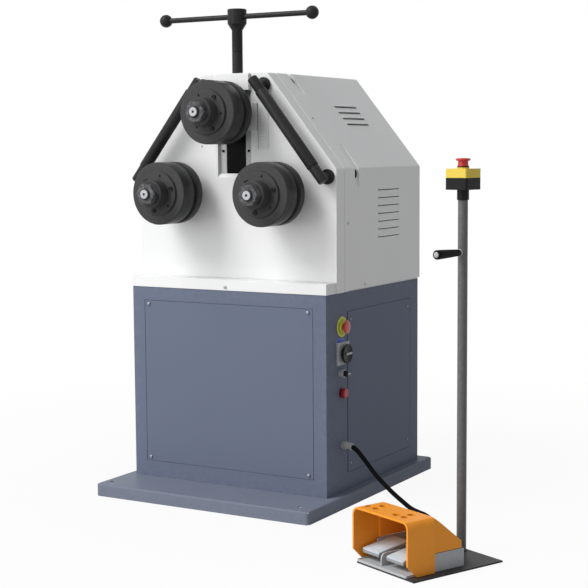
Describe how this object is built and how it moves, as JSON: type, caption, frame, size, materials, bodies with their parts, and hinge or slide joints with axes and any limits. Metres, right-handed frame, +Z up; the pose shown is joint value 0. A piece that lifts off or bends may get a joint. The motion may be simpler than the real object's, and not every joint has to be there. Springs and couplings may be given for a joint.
{
  "type": "profile bending machine",
  "caption": "Free-standing ring bender: cabinet on a plinth, housing with rollers on cantilevered shafts, a screw-driven slide with T-handle, tubular handles and a cabled pedal station.",
  "frame": {"origin": "on the floor under the middle of the plinth, on the underside of its stiffening channel", "axes": "+X to the machine's right side with the controls, +Y to the back, +Z up; the rollers stand out towards -Y"},
  "size_m": [1.3452, 1.1673, 1.457],
  "materials": {
    "plinth_paint": "satin",
    "cabinet_paint": "satin",
    "housing_paint": "satin",
    "roller_steel": "blackened and turned",
    "bright_steel": "ground",
    "black_steel": "blackened",
    "grey_steel": "machined",
    "gunmetal": "semi-gloss",
    "black_plastic": "matte",
    "grey_plastic": "matte",
    "red_plastic": "gloss",
    "yellow_plastic": "gloss",
    "orange_plastic": "gloss",
    "light_plastic": "matte",
    "gearbox_paint": "painted",
    "motor_paint": "painted",
    "cable_sheath": "matte"
  },
  "bodies": {
    "machine": {"plinth_tray": "plinth_paint", "cabinet_shell": "cabinet_paint", "front_panel": "cabinet_paint", "rear_panel": "cabinet_paint", "side_panel_right": "cabinet_paint", "side_panel_left": "cabinet_paint", "base_ring": "housing_paint", "front_plate": "housing_paint", "slide_guide": "grey_steel", "bridge_block": "housing_paint", "hood": "housing_paint", "scale_plate": "bright_steel", "handle_right": "gunmetal", "handle_left": "gunmetal", "mounting_plate": "grey_steel", "gearbox": "gearbox_paint", "motor": "motor_paint", "electrical_plate": "grey_steel", "left_bearing_housing": "black_steel", "right_bearing_housing": "black_steel", "stop_body": "yellow_plastic", "main_switch_body": "grey_plastic", "selector_body": "bright_steel", "button_body": "black_plastic", "cable_gland": "black_plastic", "cable": "cable_sheath", "stand": "gunmetal", "stop_box_base": "black_plastic", "stop_box_lid": "yellow_plastic", "pedal_guard": "orange_plastic", "pedal_base": "light_plastic"},
    "left_rollers": {"left_shaft": "bright_steel", "left_roller": "roller_steel", "left_clamp_flange": "roller_steel", "left_nut": "roller_steel", "left_gear": "grey_steel"},
    "right_rollers": {"right_shaft": "bright_steel", "right_roller": "roller_steel", "right_clamp_flange": "roller_steel", "right_nut": "roller_steel", "right_gear": "grey_steel"},
    "pinion": {"drive_pinion": "grey_steel"},
    "carriage": {"slide_carriage": "black_steel", "pointer": "gunmetal"},
    "upper_rollers": {"upper_shaft": "bright_steel", "upper_roller": "roller_steel", "upper_clamp_flange": "roller_steel", "upper_nut": "roller_steel"},
    "screw": {"screw_spindle": "gunmetal", "tommy_bar": "gunmetal"},
    "left_treadle": {"treadle_left": "light_plastic"},
    "right_treadle": {"treadle_right": "light_plastic"},
    "cabinet_stop": {"stop_head": "red_plastic"},
    "station_stop": {"station_stop_head": "red_plastic"},
    "switch_knob": {"main_switch_knob": "black_plastic"},
    "selector": {"selector_knob": "black_plastic"},
    "button": {"button_cap": "red_plastic"},
    "grip": {"pole_grip": "black_plastic"}
  },
  "joints": [
    {"name": "left_roller_spin", "type": "hinge", "parent": "machine", "child": "left_rollers", "pos_m": [-0.1754, 0, 0.9163], "axis": [0, 1, 0], "continuous": true},
    {"name": "right_roller_spin", "type": "hinge", "parent": "machine", "child": "right_rollers", "pos_m": [0.1754, 0, 0.9163], "axis": [0, 1, 0], "continuous": true},
    {"name": "pinion_spin", "type": "hinge", "parent": "machine", "child": "pinion", "pos_m": [0, 0, 0.9163], "axis": [0, 1, 0], "continuous": true},
    {"name": "carriage_slide", "type": "slide", "parent": "machine", "child": "carriage", "axis": [0, 0, -1], "range_m": [0, 0.08]},
    {"name": "upper_roller_spin", "type": "hinge", "parent": "carriage", "child": "upper_rollers", "pos_m": [0, 0, 1.1517], "axis": [0, 1, 0], "continuous": true},
    {"name": "screw_turn", "type": "hinge", "parent": "carriage", "child": "screw", "pos_m": [0, -0.169, 1.4], "axis": [0, 0, -1], "range_deg": [0, 4795]},
    {"name": "left_treadle_press", "type": "hinge", "parent": "machine", "child": "left_treadle", "pos_m": [0.77889, -0.59874, 0.041], "axis": [0.9135, -0.4067, 0], "range_deg": [0, 7], "stiffness_Nm_per_rad": 5, "springref_deg": -5.73},
    {"name": "right_treadle_press", "type": "hinge", "parent": "machine", "child": "right_treadle", "pos_m": [0.77889, -0.59874, 0.041], "axis": [0.9135, -0.4067, 0], "range_deg": [0, 7], "stiffness_Nm_per_rad": 5, "springref_deg": -5.73},
    {"name": "cabinet_stop_press", "type": "slide", "parent": "machine", "child": "cabinet_stop", "axis": [-1, 0, 0], "range_m": [0, 0.004], "stiffness_N_per_m": 2000, "springref_m": -0.002},
    {"name": "station_stop_press", "type": "slide", "parent": "machine", "child": "station_stop", "axis": [0, 0, -1], "range_m": [0, 0.0025], "stiffness_N_per_m": 2000, "springref_m": -0.002},
    {"name": "switch_knob_turn", "type": "hinge", "parent": "machine", "child": "switch_knob", "pos_m": [0.3444, -0.151, 0.4494], "axis": [-1, 0, 0], "range_deg": [0, 90]},
    {"name": "selector_turn", "type": "hinge", "parent": "machine", "child": "selector", "pos_m": [0.3544, -0.165, 0.393], "axis": [-1, 0, 0], "range_deg": [-45, 45]},
    {"name": "button_press", "type": "slide", "parent": "machine", "child": "button", "axis": [-1, 0, 0], "range_m": [0, 0.0025], "stiffness_N_per_m": 800, "springref_m": -0.002},
    {"name": "grip_spin", "type": "hinge", "parent": "machine", "child": "grip", "pos_m": [0.846, -0.448, 0.78], "axis": [-0.1994, -0.9799, 0], "continuous": true}
  ],
  "couplings": [
    {"joint": "right_roller_spin", "follows": "left_roller_spin", "ratio": 1},
    {"joint": "pinion_spin", "follows": "left_roller_spin", "ratio": -1.6667},
    {"joint": "carriage_slide", "follows": "screw_turn", "m_per_rad": 0.00095493}
  ]
}
